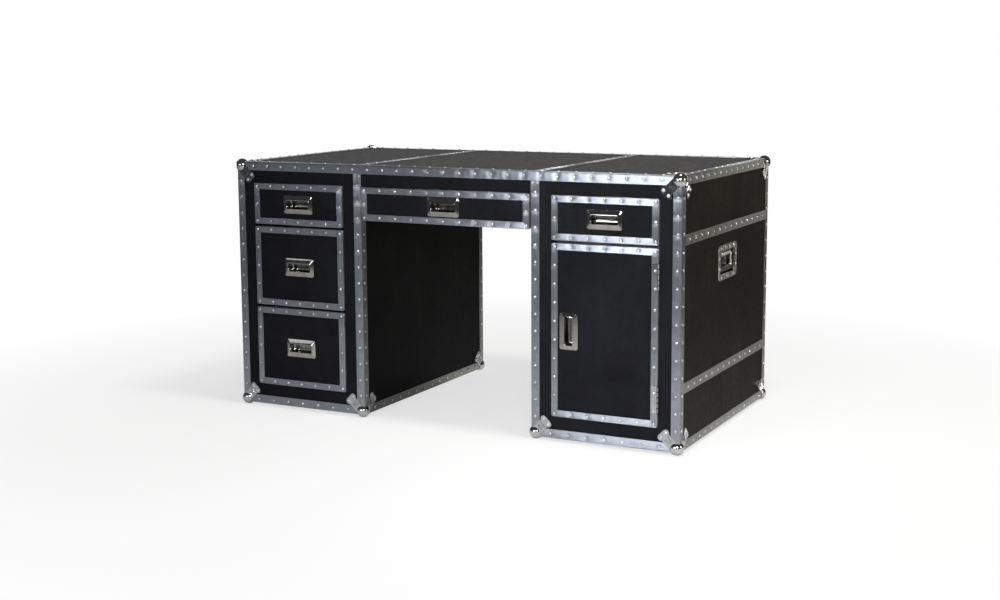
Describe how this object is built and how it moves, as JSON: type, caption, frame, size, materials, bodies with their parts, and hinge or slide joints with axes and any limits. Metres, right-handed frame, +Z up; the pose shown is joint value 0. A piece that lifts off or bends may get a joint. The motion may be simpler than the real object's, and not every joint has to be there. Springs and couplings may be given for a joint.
{
  "type": "pedestal writing desk",
  "caption": "Trunk-style pedestal writing desk in dark leather with riveted metal edges, ball corners, recessed pulls, sliding drawers, a hinged cupboard door and folding end handles.",
  "frame": {"origin": "on the floor under the middle of the desk", "axes": "+X along the desk to the right as seen from the front, +Y to the back, +Z up"},
  "size_m": [1.518, 0.8176, 0.798],
  "materials": {
    "leather": "matt near-black, fine grain",
    "aluminium": "brushed along the strip",
    "chrome": "bright",
    "hinge_steel": "plain",
    "board": "black-stained board",
    "drawer_wood": "sealed softwood",
    "catch_plastic": "moulded",
    "grip_rubber": "moulded"
  },
  "bodies": {
    "carcass": {"top_board": "board", "top_leather": "leather", "centre_rails": "board", "centre_leather": "leather", "outer_sides": "board", "left_pedestal_boards": "board", "right_pedestal_boards": "board", "left_face_frame": "board", "right_face_frame": "board", "left_leather": "leather", "right_leather": "leather", "left_drawer_runners": "drawer_wood", "right_drawer_runners": "drawer_wood", "centre_drawer_runners": "drawer_wood", "top_edge_strips": "aluminium", "left_edge_strips": "aluminium", "right_edge_strips": "aluminium", "side_bands": "aluminium", "ball_corners": "chrome", "hinge_frame_leaves": "hinge_steel", "hinge_pins": "hinge_steel", "door_catch": "catch_plastic", "left_handle_dish": "chrome", "right_handle_dish": "chrome", "handle_saddles": "chrome"},
    "left_top_drawer": {"left_top_drawer_front": "board", "left_top_drawer_leather": "leather", "left_top_drawer_trim": "aluminium", "left_top_drawer_box": "drawer_wood", "left_top_drawer_pull": "chrome"},
    "left_middle_drawer": {"left_middle_drawer_front": "board", "left_middle_drawer_leather": "leather", "left_middle_drawer_trim": "aluminium", "left_middle_drawer_box": "drawer_wood", "left_middle_drawer_pull": "chrome"},
    "left_bottom_drawer": {"left_bottom_drawer_front": "board", "left_bottom_drawer_leather": "leather", "left_bottom_drawer_trim": "aluminium", "left_bottom_drawer_box": "drawer_wood", "left_bottom_drawer_pull": "chrome"},
    "centre_drawer": {"centre_drawer_front": "board", "centre_drawer_leather": "leather", "centre_drawer_trim": "aluminium", "centre_drawer_box": "drawer_wood", "centre_drawer_pull": "chrome"},
    "right_drawer": {"right_drawer_front": "board", "right_drawer_leather": "leather", "right_drawer_trim": "aluminium", "right_drawer_box": "drawer_wood", "right_drawer_pull": "chrome"},
    "door": {"door_front": "board", "door_leather": "leather", "door_trim": "aluminium", "door_pull": "chrome", "hinge_door_leaves": "hinge_steel", "door_strike": "hinge_steel"},
    "left_bail": {"left_handle_bail": "chrome", "left_handle_grip": "grip_rubber"},
    "right_bail": {"right_handle_bail": "chrome", "right_handle_grip": "grip_rubber"}
  },
  "joints": [
    {"name": "left_top_drawer_slide", "type": "slide", "parent": "carcass", "child": "left_top_drawer", "axis": [0, -1, 0], "range_m": [0, 0.43]},
    {"name": "left_middle_drawer_slide", "type": "slide", "parent": "carcass", "child": "left_middle_drawer", "axis": [0, -1, 0], "range_m": [0, 0.43]},
    {"name": "left_bottom_drawer_slide", "type": "slide", "parent": "carcass", "child": "left_bottom_drawer", "axis": [0, -1, 0], "range_m": [0, 0.43]},
    {"name": "centre_drawer_slide", "type": "slide", "parent": "carcass", "child": "centre_drawer", "axis": [0, -1, 0], "range_m": [0, 0.43]},
    {"name": "right_drawer_slide", "type": "slide", "parent": "carcass", "child": "right_drawer", "axis": [0, -1, 0], "range_m": [0, 0.43]},
    {"name": "door_swing", "type": "hinge", "parent": "carcass", "child": "door", "pos_m": [0.68425, -0.4057, 0.33125], "axis": [0, 0, 1], "range_deg": [0, 165]},
    {"name": "left_bail_lift", "type": "hinge", "parent": "carcass", "child": "left_bail", "pos_m": [-0.741, 0, 0.529], "axis": [0, 1, 0], "range_deg": [0, 90]},
    {"name": "right_bail_lift", "type": "hinge", "parent": "carcass", "child": "right_bail", "pos_m": [0.741, 0, 0.529], "axis": [0, -1, 0], "range_deg": [0, 90]}
  ]
}
